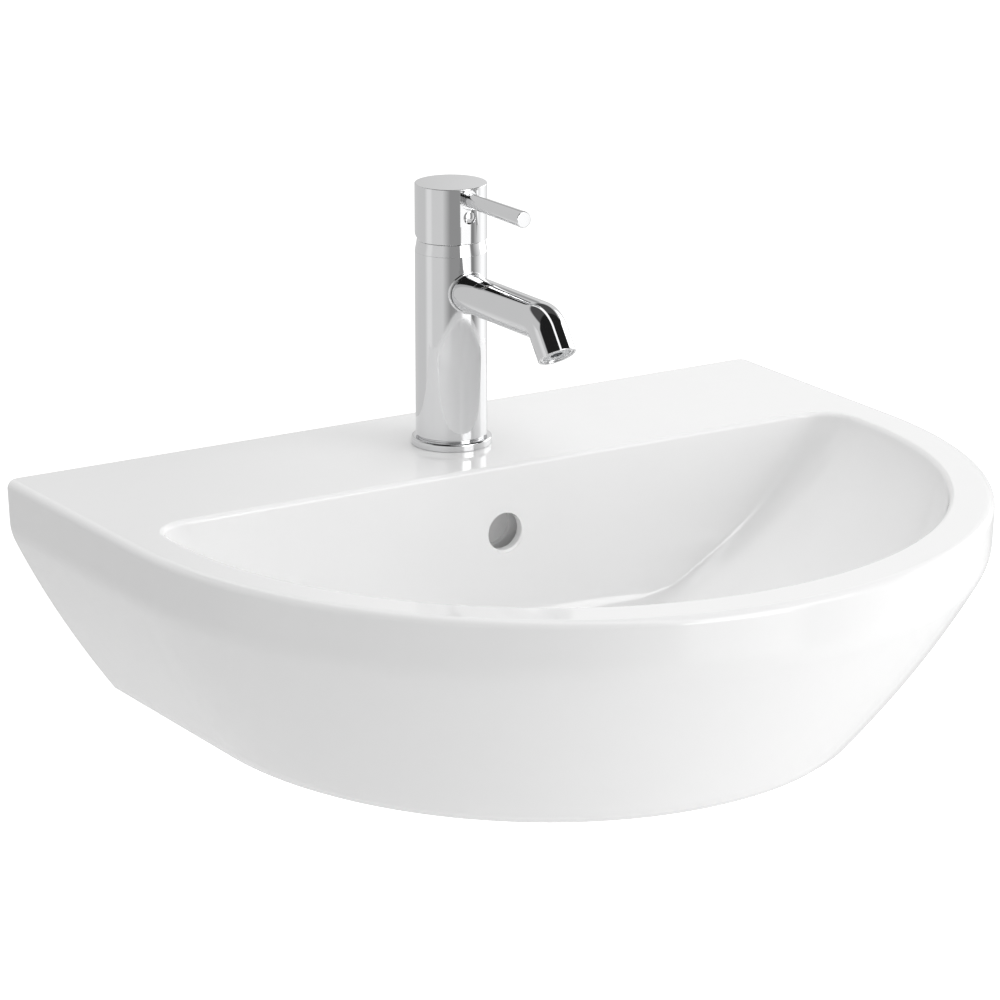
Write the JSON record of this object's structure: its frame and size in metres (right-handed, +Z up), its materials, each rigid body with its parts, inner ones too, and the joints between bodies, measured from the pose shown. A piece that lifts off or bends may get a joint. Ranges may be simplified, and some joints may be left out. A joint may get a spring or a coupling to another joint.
{
  "type": "washbasin with mixer tap",
  "caption": "Wall-hung china washbasin with a D-shaped bowl, a tapered lower body, a single-lever mixer tap and a push-to-open waste.",
  "frame": {"origin": "on the wall face, midway between the two holes for the wall bolts, 70 mm below the rim", "axes": "+X to the right as seen by the user, +Y towards the wall, +Z up"},
  "size_m": [0.55, 0.456, 0.3479],
  "materials": {
    "china": "white glaze, gloss",
    "tap_chrome": "polished",
    "raw_brass": "turned, unplated",
    "plain_steel": "plain",
    "seal_rubber": "matt",
    "pale_plastic": "moulded",
    "dark_plastic": "moulded",
    "alumina": "ground flat"
  },
  "bodies": {
    "root": {"basin": "china", "tap_body": "tap_chrome", "base_ring": "tap_chrome", "base_seal": "seal_rubber", "trim_ring": "tap_chrome", "spout": "tap_chrome", "spout_collar": "tap_chrome", "spout_oring": "seal_rubber", "aerator_housing": "tap_chrome", "aerator_insert": "dark_plastic", "aerator_washer": "seal_rubber", "cartridge_housing": "dark_plastic", "cartridge_seal": "seal_rubber", "cartridge_nut": "raw_brass", "fixed_disc": "alumina", "fixing_stud": "plain_steel", "clamp_gasket": "seal_rubber", "clamp_washer": "plain_steel", "clamp_nut": "raw_brass", "waste_body": "tap_chrome", "waste_top_seal": "seal_rubber", "waste_bottom_seal": "seal_rubber", "waste_slip_washer": "pale_plastic", "waste_nut": "raw_brass", "click_cartridge": "pale_plastic", "click_spring": "plain_steel"},
    "carriage": {"carriage": "pale_plastic", "lever_pin": "plain_steel"},
    "handle": {"spindle": "plain_steel", "handle_cap": "tap_chrome", "lever_rod": "tap_chrome", "grub_screw": "plain_steel", "index_plug": "tap_chrome"},
    "moving_disc": {"moving_disc": "alumina"},
    "plug": {"plug_stem": "plain_steel", "plug_cap": "tap_chrome", "plug_seal": "seal_rubber"}
  },
  "joints": [
    {"name": "handle_turn", "type": "hinge", "parent": "root", "child": "carriage", "pos_m": [0, -0.0715, 0.1958], "axis": [0, 0, 1], "range_deg": [-45, 45]},
    {"name": "lever_tilt", "type": "hinge", "parent": "carriage", "child": "handle", "pos_m": [0, -0.0715, 0.1958], "axis": [-1, 0, 0], "range_deg": [0, 25]},
    {"name": "disc_slide", "type": "slide", "parent": "carriage", "child": "moving_disc", "axis": [0, -1, 0], "range_m": [0, 0.0028]},
    {"name": "plug_slide", "type": "slide", "parent": "root", "child": "plug", "axis": [0, 0, 1], "range_m": [0, 0.008], "deforming": ["click_spring"]}
  ],
  "couplings": [
    {"joint": "disc_slide", "follows": "lever_tilt", "m_per_rad": 0.00634}
  ]
}
